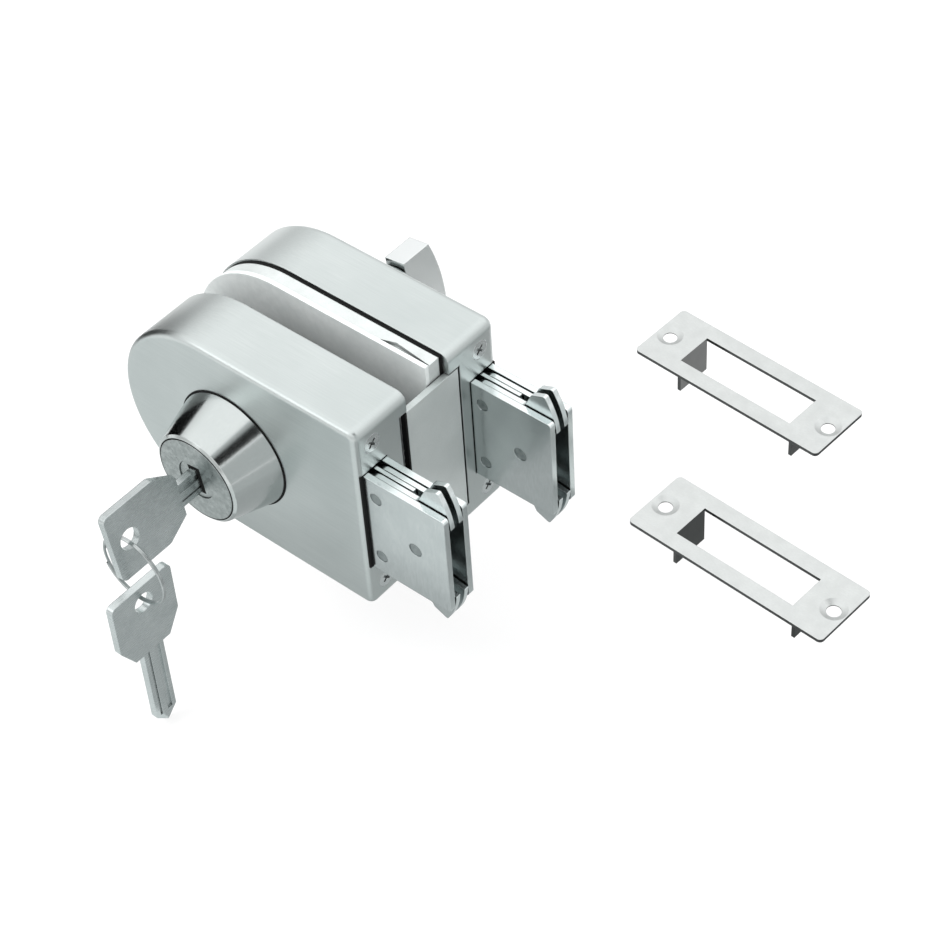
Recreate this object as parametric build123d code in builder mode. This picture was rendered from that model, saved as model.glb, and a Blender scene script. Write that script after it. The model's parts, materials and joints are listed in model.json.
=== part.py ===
"""Double-sided claw-bolt lock for a sliding glass door, with its two keys and two strike plates.

Sizes are in millimetres. X runs along the lock towards the strikes, Y from the key side through the
glass to the thumb-turn side, and Z up. The origin is where the middle plane of the glass meets the
end face of the lock, at mid height. Every piece stands where it sits on the locked lock.
"""
from build123d import *
import os
from math import atan, cos, pi, radians, sin, tan

os.makedirs("parts", exist_ok=True)

# Glass and the two cases
glass_thickness = 10.0
case_height = 70.0
case_length = 94.0
front_case_depth = 21.0
rear_case_depth = 20.0
cover_wall = 1.2
end_wall = 2.5
face_edge_radius = 2.0
end_corner_radius = 3.0
front_rim_gap = 0.5
front_gasket_thickness = 1.0
front_gasket_inset = 3.0
front_plate_thickness = 2.5
rear_gasket_thickness = 0.5
rear_gasket_inset = 16.0
clamp_plate_thickness = 1.5
clamp_plate_inset = 0.3
spacer_thickness = 4.3
spacer_inset = 0.6
spacer_end_inset = 6.0
seal_thickness = 1.2
seal_inset = 0.5
rear_plate_depth = 15.9
rear_plate_thickness = 2.0
plate_clearance = 0.3
relief_start = -21.0
relief_deepest = -15.5
relief_end = -2.5
relief_width = 1.9
relief_tail_width = 0.5
relief_height = 1.2

# Bridge flange across the glass edge
bridge_edge = 7.3
bridge_thickness = 2.0
bridge_gap = 0.5
front_notch_depth = 3.2

# Bolt, stacked from the outer face of a case inwards: cheek, claw plate, tongue, claw plate, cheek
bolt_reach = 29.0
cheek_half_height = 18.5
cheek_thickness = 2.0
claw_thickness = 1.6
tongue_thickness = 1.2
layer_gap = 0.35
first_layer_gap = 0.45
cheek_corner_radius = 1.2
slot_clearance = 0.3
outer_cheek_tail = 7.0
inner_cheek_tail = 56.0
shaft_slot_half_height = 6.5
rivet_x = 17.4
rivet_radius = 2.2
rivet_fit = 0.05
rivet_dent = 0.25

# Claws: two hooked plates each, one on either side of the tongue, joined by a sleeve on the pivot
claw_pivot_x = 4.0
claw_pivot_z = 11.7
claw_pivot_radius = 2.0
claw_sleeve_wall = 1.0
claw_reach = 25.4
claw_tip_angle = 33.5
claw_front_angle = 4.7
claw_throat_reach = 12.3
claw_throat_angle = 0.7
claw_back_step = 0.4
claw_root_x = 17.8
claw_hook_reach = 20.4
claw_hook_angle = 36.0
claw_corner_radius = 0.8
claw_root_radius = 1.6
claw_lever_end = 3.4
claw_lever_wall = 1.5
claw_slot_spare = 1.0
claw_fold = 27.0
running_fit = 0.08

# Driver: tongue, drive pin and rack
drive_pin_radius = 1.8
drive_pin_play = 0.15
tongue_front = 14.5
tongue_tail = 16.0
tongue_inset = 0.2
rack_thickness = 3.5
rack_front = 3.0
rack_tail = 52.0
rack_top = 17.0
stud_radius = 1.5
stud_z = 14.9
stud_positions = (-7.0, -15.5)

# Pinion on the spindle
axis_x = -50.0
gear_module = 1.25
pinion_teeth = 18
pressure_angle = 20.0
backlash = 0.25
dedendum_ratio = 1.25
rack_spare = 5.0
spindle_turn = 180.0
rest_tilt = 9.0

# Spindle, cylinder and rosettes
spindle_radius = 4.0
spindle_hole_radius = 5.0
bearing_fit = 0.06
rosette_base_radius = 19.7
rosette_front_radius = 15.1
rosette_height = 15.7
rosette_rim_chamfer = 0.6
cylinder_head_radius = 12.0
cylinder_head_length = 3.0
cylinder_recess = 0.5
cylinder_radius = 10.0
cylinder_clearance = 0.15
cylinder_end_depth = 5.2
nut_width = 24.0
nut_thickness = 3.5
plug_radius = 6.5
plug_fit = 0.06
plug_front_step = 0.3
plug_tail_radius = 5.5
plug_tail_depth = 11.0
tang_length = 5.0
tang_thickness = 3.0
tang_fit = 0.05
clip_radius = 6.5
clip_thickness = 1.0
front_plate_gap = 1.5
flange_root = 1.0

# Thumb turn
turn_stem_radius = 9.0
turn_stem_clearance = 0.4
turn_blade_width = 33.6
turn_blade_thickness = 7.6
turn_blade_corner_depth = 11.3
turn_blade_middle_depth = 14.0
turn_face_gap = 0.4

# Keys and ring
key_blade_length = 33.0
key_blade_width = 8.0
key_thickness = 2.4
key_head_length = 27.0
key_head_half_width = 11.8
key_shoulder_half_width = 7.0
key_shoulder_rise = 8.0
key_corner_radius = 2.0
key_tip_length = 4.0
key_insert = 25.0
key_play = 0.15
key_hole_radius = 3.5
key_hole_from_end = 6.6
key_groove_width = 1.8
key_groove_depth = 0.6
key_slit_width = 0.7
key_slit_depth = 0.5
key_groove_offset = 1.6
key_slit_offset = 2.0
ring_radius = 11.3
ring_wire_radius = 0.9
ring_wire_sides = 8
ring_play = 0.4

# Fasteners
end_screw_edge = 7.5
end_screw_radius = 1.5
end_screw_head_radius = 3.1
end_screw_length = 11.0
screw_sink_angle = 90
screw_recess_ratio = 1.1
screw_recess_width = 0.8
screw_recess_depth = 0.9
screw_clearance = 0.2
lug_half_width = 4.2
lug_length = 10.0
lug_depth = 2.0
clamp_screw_positions = (-30.0, -66.0)
clamp_screw_edge = 5.0
clamp_screw_radius = 2.5
clamp_screw_head_radius = 4.2
clamp_hole_clearance = 0.25
guide_pin_places = (-16.0, -44.0)
guide_pin_radius = 2.4
guide_play = 0.15
guide_pin_depth = 1.8

# Strike plates
strike_length = 71.4
strike_width = 23.8
strike_thickness = 1.2
strike_corner_radius = 1.5
strike_opening_length = 43.0
strike_opening_width = 13.0
strike_flap_depth = 13.5
strike_hole_spacing = 62.4
strike_hole_radius = 2.25
strike_sink_radius = 4.2
strike_sink_angle = 130
strike_turn = -3.1
strike_places = ((31.2, 113.8), (73.8, 54.6))

# Places that follow from the sizes above
nose_x = case_height / 2 - case_length
end_screw_z = case_height / 2 - end_screw_edge
clamp_screw_z = case_height / 2 - rear_gasket_inset - clamp_screw_edge
bridge_half_height = case_height / 2 - bridge_edge
front_rim_y = -(glass_thickness / 2 + front_rim_gap)
rear_glass_side = glass_thickness / 2 + rear_gasket_thickness
clamp_plate_back = rear_glass_side + clamp_plate_thickness
spacer_back = clamp_plate_back + spacer_thickness
rear_rim_y = spacer_back + seal_thickness
front_face_y = front_rim_y - front_case_depth
rear_face_y = rear_rim_y + rear_case_depth
front_plate_depth = front_case_depth + front_rim_gap - front_gasket_thickness - front_plate_thickness
rear_plate_front = rear_face_y - rear_plate_depth - rear_plate_thickness
rear_plate_back = rear_face_y - rear_plate_depth

outer_cheek_depth = cover_wall + first_layer_gap
outer_claw_depth = outer_cheek_depth + cheek_thickness + layer_gap
tongue_depth = outer_claw_depth + claw_thickness + layer_gap
inner_claw_depth = tongue_depth + tongue_thickness + layer_gap
inner_cheek_depth = inner_claw_depth + claw_thickness + layer_gap
bolt_back_depth = inner_cheek_depth + cheek_thickness
rack_depth = bolt_back_depth + layer_gap
stack_middle_depth = (outer_cheek_depth + bolt_back_depth) / 2

tilt = radians(rest_tilt)
tang_cut_width = 3 * spindle_radius
pitch_radius = gear_module * pinion_teeth / 2
driver_travel = pitch_radius * radians(spindle_turn)
half_fold = claw_fold / 2
driver_lead = 2 * claw_pivot_z * tan(radians(half_fold))
bolt_travel = driver_travel - driver_lead
drive_pin_x = claw_pivot_x + driver_lead / 2
claw_back_z = cheek_half_height - claw_back_step
claw_sleeve_radius = claw_pivot_radius + running_fit + claw_sleeve_wall


class Case:
    """One case of the lock, with depths counted from its outer face towards the glass."""

    def __init__(self, name, face_y, depth, inwards):
        self.name = name
        self.face_y = face_y
        self.depth = depth
        self.inwards = inwards

    def y(self, depth):
        return self.face_y + self.inwards * depth

    def layer(self, depth, thickness):
        """Plane from which an extrusion towards -Y fills the layer at this depth."""
        return Plane.XZ.offset(-max(self.y(depth), self.y(depth + thickness)))


front = Case("front", front_face_y, front_case_depth, 1)
rear = Case("rear", rear_face_y, rear_case_depth, -1)


def finish(part, label):
    """Name a piece and write it as its own file."""
    part.label = label
    export_step(part, f"parts/{label}.step")


def case_outline(inset, end_inset):
    """D-shaped outline of a case, drawn in by the inset all round and by its own inset at the end."""
    half = case_height / 2 - inset
    with BuildSketch() as outline:
        with BuildLine():
            Line((nose_x, half), (-end_inset, half))
            Line((-end_inset, half), (-end_inset, -half))
            Line((-end_inset, -half), (nose_x, -half))
            ThreePointArc((nose_x, -half), (nose_x - half, 0), (nose_x, half))
        make_face()
    return outline.sketch


def clamp_screw_locations():
    """Places of the screws that pull the two cases onto the glass."""
    return [(x, side * clamp_screw_z) for x in clamp_screw_positions for side in (1, -1)]


def end_plane(y, z):
    """Plane on the end face of the lock, facing the strikes."""
    return Plane(origin=(0, y, z), x_dir=(0, 1, 0), z_dir=(1, 0, 0))


# Covers: deep-drawn shells with a flat end wall for the bolt
def make_cover(case, axis_hole_radius, notch_depth):
    with BuildPart() as cover:
        with BuildSketch(case.layer(0, case.depth)):
            add(case_outline(0, 0))
        extrude(amount=case.depth)
        fillet(cover.edges().filter_by(Axis.Y).group_by(Axis.X)[-1], radius=end_corner_radius)
        outer_face = cover.faces().filter_by(Axis.Y).sort_by(Axis.Y)[0 if case is front else -1]
        fillet(outer_face.edges(), radius=face_edge_radius)
        hollow = case.depth - cover_wall
        with BuildSketch(case.layer(cover_wall, hollow)):
            add(case_outline(cover_wall, end_wall))
        extrude(amount=hollow, mode=Mode.SUBTRACT)
        with BuildSketch(Plane.YZ):
            with Locations((case.y(stack_middle_depth), 0)):
                Rectangle(bolt_back_depth - outer_cheek_depth + 2 * slot_clearance,
                          2 * (cheek_half_height + slot_clearance))
            rim_depth = case.depth - notch_depth / 2
            with Locations((case.y(rim_depth), 0)):
                Rectangle(notch_depth, 2 * (bridge_half_height + bridge_gap))
        extrude(amount=-end_wall, mode=Mode.SUBTRACT)
        screw_y = case.y(stack_middle_depth)
        with Locations(end_plane(screw_y, end_screw_z), end_plane(screw_y, -end_screw_z)):
            CounterSinkHole(end_screw_radius + screw_clearance, end_screw_head_radius, end_wall, screw_sink_angle)
        with BuildSketch(case.layer(0, cover_wall)):
            with Locations((axis_x, 0)):
                Circle(axis_hole_radius)
        extrude(amount=cover_wall, mode=Mode.SUBTRACT)
    return cover.part


rear_notch_depth = rear_plate_back - rear_rim_y + bridge_gap
finish(make_cover(front, cylinder_radius + cylinder_clearance, front_notch_depth), "front_cover")
finish(make_cover(rear, spindle_radius + plate_clearance, rear_notch_depth), "rear_cover")


# Base plates: each carries the guide pins and has two lugs for the screws of its cover
def make_base_plate(case, depth, thickness, end_inset):
    with BuildPart() as plate:
        with BuildSketch(case.layer(depth, thickness)):
            add(case_outline(cover_wall + plate_clearance, end_inset))
            with Locations((axis_x, 0)):
                Circle(spindle_radius + bearing_fit, mode=Mode.SUBTRACT)
            with Locations(*clamp_screw_locations()):
                Circle(clamp_screw_radius + rivet_fit, mode=Mode.SUBTRACT)
        extrude(amount=thickness)
        with BuildSketch(case.layer(lug_depth, depth - lug_depth)):
            lug_x = -end_wall - lug_length / 2
            with Locations((lug_x, end_screw_z), (lug_x, -end_screw_z)):
                Rectangle(lug_length, 2 * lug_half_width)
        extrude(amount=depth - lug_depth)
        screw_y = case.y(stack_middle_depth)
        with BuildSketch(Plane.YZ.offset(-end_wall)):
            with Locations((screw_y, end_screw_z), (screw_y, -end_screw_z)):
                Circle(end_screw_radius + rivet_fit)
        extrude(amount=-lug_length, mode=Mode.SUBTRACT)
    return plate.part


# The front base plate is sunk round the spindle for the clip that keeps it
clip_seat_depth = clip_thickness + plate_clearance
with BuildPart() as front_base_plate:
    add(make_base_plate(front, front_plate_depth, front_plate_thickness, end_wall + front_plate_gap))
    with BuildSketch(front.layer(front_plate_depth, clip_seat_depth)):
        with Locations((axis_x, 0)):
            Circle(clip_radius + plate_clearance)
    extrude(amount=clip_seat_depth, mode=Mode.SUBTRACT)
finish(front_base_plate.part, "front_base_plate")

# The rear base plate turns through the notch of its cover into the flange that bridges the glass edge
with BuildPart() as rear_base_plate:
    add(make_base_plate(rear, rear_plate_depth, rear_plate_thickness, end_wall + plate_clearance))
    with BuildSketch(rear.layer(rear_plate_depth, rear_plate_thickness)):
        with Locations((-(end_wall + flange_root) / 2, 0)):
            Rectangle(end_wall + flange_root, 2 * bridge_half_height)
    extrude(amount=rear_plate_thickness)
    bridge_width = rear_plate_back - front_rim_y
    with BuildSketch(Plane.YZ):
        with Locations(((rear_plate_back + front_rim_y) / 2, 0)):
            Rectangle(bridge_width, 2 * bridge_half_height)
    extrude(amount=-bridge_thickness)
    bend = rear_base_plate.edges().filter_by(Axis.Z).filter_by_position(Axis.X, -0.01, 0.01).sort_by(Axis.Y)[-1]
    fillet(bend, radius=bridge_gap)
    with Locations(*[Plane(origin=(x, rear_plate_back, z), x_dir=(1, 0, 0), z_dir=(0, 1, 0))
                     for x, z in clamp_screw_locations()]):
        CounterSinkHole(clamp_screw_radius + rivet_fit, clamp_screw_head_radius + rivet_fit,
                        rear_plate_thickness, screw_sink_angle)
finish(rear_base_plate.part, "rear_base_plate")

# Clamp plate, spacer and seal between the rear cover and the glass
with BuildPart() as rear_clamp_plate:
    with BuildSketch(Plane.XZ.offset(-clamp_plate_back)):
        add(case_outline(clamp_plate_inset, bridge_thickness + plate_clearance))
        with Locations((axis_x, 0)):
            Circle(spindle_hole_radius, mode=Mode.SUBTRACT)
        with Locations(*clamp_screw_locations()):
            Circle(clamp_screw_radius + clamp_hole_clearance, mode=Mode.SUBTRACT)
    extrude(amount=clamp_plate_thickness)
finish(rear_clamp_plate.part, "rear_clamp_plate")

boss_inset = cover_wall + plate_clearance
with BuildPart() as rear_spacer:
    with BuildSketch(Plane.XZ.offset(-spacer_back)):
        add(case_outline(spacer_inset, bridge_thickness + plate_clearance))
    extrude(amount=spacer_thickness)
    with BuildSketch(Plane.XZ.offset(-rear_plate_front)):
        add(case_outline(boss_inset, spacer_end_inset))
    extrude(amount=rear_plate_front - spacer_back)
    with BuildSketch(Plane.XZ.offset(-rear_plate_front)):
        with Locations((axis_x, 0)):
            Circle(spindle_hole_radius)
        with Locations(*clamp_screw_locations()):
            Circle(clamp_screw_radius + clamp_hole_clearance)
    extrude(amount=rear_plate_front - clamp_plate_back, mode=Mode.SUBTRACT)
    spacer_half_height = case_height / 2 - spacer_inset
    for side in (1, -1):
        with BuildSketch(Plane.XY.offset(side * spacer_half_height)):
            with BuildLine():
                Polyline((relief_start, clamp_plate_back), (relief_deepest, clamp_plate_back + relief_width),
                         (relief_end, clamp_plate_back + relief_tail_width), (relief_end, clamp_plate_back),
                         close=True)
            make_face()
        extrude(amount=-side * relief_height, mode=Mode.SUBTRACT)
finish(rear_spacer.part, "rear_spacer")

with BuildPart() as rear_seal:
    with BuildSketch(Plane.XZ.offset(-rear_rim_y)):
        add(case_outline(seal_inset, bridge_thickness + plate_clearance))
        add(case_outline(boss_inset, spacer_end_inset), mode=Mode.SUBTRACT)
    extrude(amount=seal_thickness)
finish(rear_seal.part, "rear_rim_seal")


# Gaskets that press on the glass
def make_gasket(face_y, thickness, inset):
    with BuildPart() as gasket:
        with BuildSketch(Plane.XZ.offset(-face_y)):
            add(case_outline(inset, inset + end_wall))
            with Locations((axis_x, 0)):
                Circle(spindle_hole_radius, mode=Mode.SUBTRACT)
            with Locations(*clamp_screw_locations()):
                Circle(clamp_screw_radius + clamp_hole_clearance, mode=Mode.SUBTRACT)
        extrude(amount=thickness)
    return gasket.part


finish(make_gasket(-glass_thickness / 2, front_gasket_thickness, front_gasket_inset), "front_glass_gasket")
finish(make_gasket(rear_glass_side, rear_gasket_thickness, rear_gasket_inset), "rear_glass_gasket")


# Fasteners
def make_end_screws(case):
    """The two countersunk screws that hold a cover by its end wall."""
    with BuildPart() as screws:
        for z in (end_screw_z, -end_screw_z):
            head_plane = end_plane(case.y(stack_middle_depth), z)
            head_height = end_screw_head_radius - end_screw_radius
            with BuildSketch(head_plane):
                Circle(end_screw_head_radius)
            with BuildSketch(head_plane.offset(-head_height)):
                Circle(end_screw_radius)
            loft()
            with BuildSketch(head_plane.offset(-head_height)):
                Circle(end_screw_radius)
            extrude(amount=head_height - end_screw_length)
            with BuildSketch(head_plane):
                for turn in (45, 135):
                    with Locations(Location((0, 0), turn)):
                        Rectangle(end_screw_head_radius * screw_recess_ratio, screw_recess_width)
            extrude(amount=-screw_recess_depth, mode=Mode.SUBTRACT)
    return screws.part


def make_guide_pins(case, plate_depth):
    """Pins on a base plate that the inner cheek slides between."""
    pin_z = cheek_half_height + guide_play + guide_pin_radius
    length = plate_depth - guide_pin_depth
    with BuildPart() as pins:
        with BuildSketch(case.layer(guide_pin_depth, length)):
            with Locations(*[(x, side * pin_z) for x in guide_pin_places for side in (1, -1)]):
                Circle(guide_pin_radius)
        extrude(amount=length)
    return pins.part


# Countersunk screws, flush in the rear base plate and threaded into the front one
with BuildPart() as clamp_screws:
    head_back_y = rear_plate_back - (clamp_screw_head_radius - clamp_screw_radius)
    for place in clamp_screw_locations():
        with BuildSketch(Plane.XZ.offset(-rear_plate_back)):
            with Locations(place):
                Circle(clamp_screw_head_radius)
        with BuildSketch(Plane.XZ.offset(-head_back_y)):
            with Locations(place):
                Circle(clamp_screw_radius)
        loft()
    with BuildSketch(Plane.XZ.offset(-head_back_y)):
        with Locations(*clamp_screw_locations()):
            Circle(clamp_screw_radius)
    extrude(amount=head_back_y - front.y(front_plate_depth))
finish(clamp_screws.part, "clamp_screws")


# Bolt cheeks
def cheek_outline(tail):
    """Outline of a cheek plate from its front edge back to its tail, with the rivet holes."""
    length = bolt_reach + tail
    with BuildSketch() as outline:
        with Locations((bolt_reach - length / 2, 0)):
            Rectangle(length, 2 * cheek_half_height)
        front_corners = outline.vertices().group_by(Axis.X)[-1]
        fillet(front_corners, radius=cheek_corner_radius)
        with Locations((rivet_x, 0)):
            Circle(rivet_radius + rivet_fit, mode=Mode.SUBTRACT)
        with Locations((claw_pivot_x, claw_pivot_z), (claw_pivot_x, -claw_pivot_z)):
            Circle(claw_pivot_radius + rivet_fit, mode=Mode.SUBTRACT)
    return outline.sketch


def shaft_slot(tail, travel):
    """Open slot that lets a plate slide over the spindle by its travel."""
    round_x = axis_x + travel
    length = round_x + tail + 2 * shaft_slot_half_height
    with BuildSketch() as slot:
        with Locations((round_x + shaft_slot_half_height - length / 2 - shaft_slot_half_height / 2, 0)):
            SlotOverall(length + shaft_slot_half_height, 2 * shaft_slot_half_height)
    return slot.sketch


def make_outer_cheek(case):
    with BuildPart() as cheek:
        with BuildSketch(case.layer(outer_cheek_depth, cheek_thickness)):
            add(cheek_outline(outer_cheek_tail))
        extrude(amount=cheek_thickness)
    return cheek.part


def make_inner_cheek(case):
    """Cheek with a forked tail that straddles the spindle and runs between the guide pins."""
    with BuildPart() as cheek:
        with BuildSketch(case.layer(inner_cheek_depth, cheek_thickness)):
            add(cheek_outline(inner_cheek_tail))
            add(shaft_slot(inner_cheek_tail, bolt_travel), mode=Mode.SUBTRACT)
            stud_spread = max(stud_positions) - min(stud_positions)
            stud_middle = (max(stud_positions) + min(stud_positions) - driver_lead) / 2
            with Locations((stud_middle, stud_z)):
                SlotOverall(stud_spread + driver_lead + 2 * (stud_radius + slot_clearance),
                            2 * (stud_radius + slot_clearance), mode=Mode.SUBTRACT)
        extrude(amount=cheek_thickness)
    return cheek.part


def make_bolt_rivets(case):
    """The middle rivet and the two claw pivots that tie the cheeks together."""
    length = bolt_back_depth - outer_cheek_depth - 2 * rivet_dent
    with BuildPart() as rivets:
        with BuildSketch(case.layer(outer_cheek_depth + rivet_dent, length)):
            with Locations((rivet_x, 0)):
                Circle(rivet_radius)
            with Locations((claw_pivot_x, claw_pivot_z), (claw_pivot_x, -claw_pivot_z)):
                Circle(claw_pivot_radius)
        extrude(amount=length)
    return rivets.part


# Claws: sector-shaped hooks on the root pivots, swung by a lever slot at the drive pin
def polar(reach, angle):
    """Point about the claw pivot, as seen from the front on the upper claw."""
    return (claw_pivot_x + reach * cos(radians(angle)), claw_pivot_z + reach * sin(radians(angle)))


def lever_outline():
    """Lever of the upper claw, from its pivot to the slot that the drive pin runs in."""
    angle = half_fold - 90
    reach = claw_pivot_z + claw_lever_end
    slot_height = 2 * (drive_pin_radius + drive_pin_play)
    slot_reach = (claw_pivot_z + claw_pivot_z / cos(radians(half_fold))) / 2
    with BuildSketch() as lever:
        with Locations(Location(polar(reach / 2, angle), angle)):
            SlotOverall(reach, slot_height + 2 * claw_lever_wall)
        with Locations(Location(polar(slot_reach, angle), angle)):
            SlotOverall(slot_height + claw_slot_spare, slot_height, mode=Mode.SUBTRACT)
    return lever.sketch


def claw_outline(has_lever):
    """Plate of the upper claw: a hooked sector whose nose is concentric with the pivot, and its lever."""
    with BuildSketch() as outline:
        with BuildLine():
            nose = CenterArc((claw_pivot_x, claw_pivot_z), claw_reach, claw_front_angle,
                             claw_tip_angle - claw_front_angle)
            Polyline(nose @ 1, polar(claw_hook_reach, claw_hook_angle), (claw_root_x, claw_back_z),
                     (claw_pivot_x, claw_back_z), (claw_pivot_x, claw_pivot_z),
                     polar(claw_throat_reach, claw_throat_angle), nose @ 0)
        make_face()
        fillet(outline.vertices().sort_by(Axis.Y)[-2:], radius=claw_corner_radius)
        root = outline.vertices().sort_by_distance((claw_root_x, claw_back_z))[0]
        fillet(root, radius=claw_root_radius)
        with Locations((claw_pivot_x, claw_pivot_z)):
            Circle(claw_back_z - claw_pivot_z)
        if has_lever:
            add(lever_outline())
        with Locations((claw_pivot_x, claw_pivot_z)):
            Circle(claw_pivot_radius + running_fit, mode=Mode.SUBTRACT)
    return outline.sketch


def make_claw(case, upper):
    """Claw of two plates joined by a sleeve through the tongue; one of the plates has the lever."""
    lever_inside = upper == (case is front)
    with BuildPart() as claw:
        for depth, has_lever in ((outer_claw_depth, not lever_inside), (inner_claw_depth, lever_inside)):
            with BuildSketch(case.layer(depth, claw_thickness)):
                if upper:
                    add(claw_outline(has_lever))
                else:
                    add(mirror(claw_outline(has_lever), about=Plane.XZ, mode=Mode.PRIVATE))
            extrude(amount=claw_thickness)
        sleeve_depth = outer_claw_depth + claw_thickness
        with BuildSketch(case.layer(sleeve_depth, inner_claw_depth - sleeve_depth)):
            with Locations((claw_pivot_x, claw_pivot_z if upper else -claw_pivot_z)):
                Circle(claw_sleeve_radius)
                Circle(claw_pivot_radius + running_fit, mode=Mode.SUBTRACT)
        extrude(amount=inner_claw_depth - sleeve_depth)
    return claw.part


# Driver: the tongue folds the claws first and takes the bolt with it; the rack meets the pinion
def make_tongue(case):
    length = tongue_front + tongue_tail
    with BuildPart() as tongue:
        with BuildSketch(case.layer(tongue_depth, tongue_thickness)):
            with Locations((tongue_front - length / 2, 0)):
                Rectangle(length, 2 * (cheek_half_height - tongue_inset))
            add(shaft_slot(tongue_tail, driver_travel), mode=Mode.SUBTRACT)
            with Locations((drive_pin_x, 0)):
                Circle(drive_pin_radius + rivet_fit, mode=Mode.SUBTRACT)
            with Locations(*[(x, stud_z) for x in stud_positions]):
                Circle(stud_radius + rivet_fit, mode=Mode.SUBTRACT)
            pivot_slot = claw_pivot_x + driver_lead / 2
            with Locations((pivot_slot, claw_pivot_z), (pivot_slot, -claw_pivot_z)):
                SlotOverall(driver_lead + 2 * (claw_sleeve_radius + slot_clearance),
                            2 * (claw_sleeve_radius + slot_clearance), mode=Mode.SUBTRACT)
        extrude(amount=tongue_thickness)
    return tongue.part


def make_drive_pin(case):
    length = inner_cheek_depth - outer_claw_depth - layer_gap
    with BuildPart() as pin:
        with BuildSketch(case.layer(outer_claw_depth, length)):
            with Locations((drive_pin_x, 0)):
                Circle(drive_pin_radius)
        extrude(amount=length)
    return pin.part


def make_driver_studs(case):
    length = rack_depth + rack_thickness - tongue_depth
    with BuildPart() as studs:
        with BuildSketch(case.layer(tongue_depth, length)):
            with Locations(*[(x, stud_z) for x in stud_positions]):
                Circle(stud_radius)
        extrude(amount=length)
    return studs.part


tooth_pitch = pi * gear_module
tooth_root = dedendum_ratio * gear_module
tooth_thickness = tooth_pitch / 2 - backlash / 2


def rack_tooth(x):
    """One straight-sided rack tooth that points down to the pinion."""
    spread = tan(radians(pressure_angle))
    tip_half = tooth_thickness / 2 - gear_module * spread
    root_half = tooth_thickness / 2 + tooth_root * spread
    with BuildSketch() as tooth:
        with BuildLine():
            Polyline((x - root_half, pitch_radius + tooth_root), (x - tip_half, pitch_radius - gear_module),
                     (x + tip_half, pitch_radius - gear_module), (x + root_half, pitch_radius + tooth_root),
                     close=True)
        make_face()
    return tooth.sketch


def make_rack(case):
    root_z = pitch_radius + tooth_root
    length = rack_tail - rack_front
    tooth_count = int((driver_travel + rack_spare) / tooth_pitch) + 1
    with BuildPart() as rack:
        with BuildSketch(case.layer(rack_depth, rack_thickness)):
            with Locations((-rack_front - length / 2, (root_z + rack_top) / 2)):
                Rectangle(length, rack_top - root_z)
            for number in range(tooth_count):
                add(rack_tooth(axis_x + number * tooth_pitch))
            with Locations(*[(x, stud_z) for x in stud_positions]):
                Circle(stud_radius + rivet_fit, mode=Mode.SUBTRACT)
        extrude(amount=rack_thickness)
    return rack.part


def involute(angle):
    return tan(angle) - angle


def pinion_tooth(number):
    """One involute tooth of the pinion, about the origin of the sketch."""
    base_radius = pitch_radius * cos(radians(pressure_angle))
    half_angle = tooth_thickness / 2 / pitch_radius
    middle = pi / 2 + (number + 0.5) * 2 * pi / pinion_teeth
    root_radius = pitch_radius - tooth_root
    tip_radius = pitch_radius + gear_module
    steps = 4
    left = []
    right = []
    for step in range(steps + 1):
        radius = base_radius + (tip_radius - base_radius) * step / steps
        roll = involute(radians(pressure_angle)) - involute(pressure_at(base_radius, radius))
        offset = half_angle + roll
        left.append((radius * cos(middle + offset), radius * sin(middle + offset)))
        right.append((radius * cos(middle - offset), radius * sin(middle - offset)))
    spread = half_angle + involute(radians(pressure_angle))
    foot = root_radius - gear_module / 4
    foot_left = (foot * cos(middle + spread), foot * sin(middle + spread))
    foot_right = (foot * cos(middle - spread), foot * sin(middle - spread))
    with BuildSketch() as tooth:
        with BuildLine():
            Polyline(foot_left, *left, *reversed(right), foot_right, close=True)
        make_face()
    return tooth.sketch


def pressure_at(base_radius, radius):
    """Pressure angle of the involute at a radius, in radians."""
    return atan(max(radius ** 2 - base_radius ** 2, 0) ** 0.5 / base_radius)


def make_pinion(case):
    with BuildPart() as pinion:
        with BuildSketch(case.layer(rack_depth, rack_thickness)):
            with Locations((axis_x, 0)):
                Circle(pitch_radius - tooth_root)
            for number in range(pinion_teeth):
                add(pinion_tooth(number).moved(Location((axis_x, 0))))
            with Locations((axis_x, 0)):
                Circle(spindle_radius + rivet_fit, mode=Mode.SUBTRACT)
        extrude(amount=rack_thickness)
    return pinion.part


plate_depths = {"front": front_plate_depth, "rear": rear_plate_depth}
for case in (front, rear):
    name = case.name
    finish(make_end_screws(case), f"{name}_end_screws")
    finish(make_guide_pins(case, plate_depths[name]), f"{name}_guide_pins")
    finish(make_outer_cheek(case), f"{name}_outer_cheek")
    finish(make_inner_cheek(case), f"{name}_inner_cheek")
    finish(make_bolt_rivets(case), f"{name}_bolt_rivets")
    finish(make_claw(case, True), f"{name}_upper_claw")
    finish(make_claw(case, False), f"{name}_lower_claw")
    finish(make_tongue(case), f"{name}_driver_tongue")
    finish(make_drive_pin(case), f"{name}_drive_pin")
    finish(make_driver_studs(case), f"{name}_driver_studs")
    finish(make_rack(case), f"{name}_rack")
    finish(make_pinion(case), f"{name}_pinion")

# Spindle with a slotted end for the plug's tang, and the clip that keeps it in the front base plate
plug_tail_y = front.y(plug_tail_depth)
spindle_start = plug_tail_y + layer_gap
spindle_end = rear_face_y + rosette_height
tang_end = plug_tail_y + tang_length
with BuildPart() as spindle:
    with BuildSketch(Plane.XZ.offset(-spindle_end)):
        with Locations((axis_x, 0)):
            Circle(spindle_radius)
    extrude(amount=spindle_end - spindle_start)
    with BuildSketch(Plane.XZ.offset(-tang_end - layer_gap)):
        with Locations(Location((axis_x, 0), rest_tilt)):
            Rectangle(tang_thickness + 2 * tang_fit, tang_cut_width)
    extrude(amount=tang_length, mode=Mode.SUBTRACT)
finish(spindle.part, "spindle")

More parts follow.
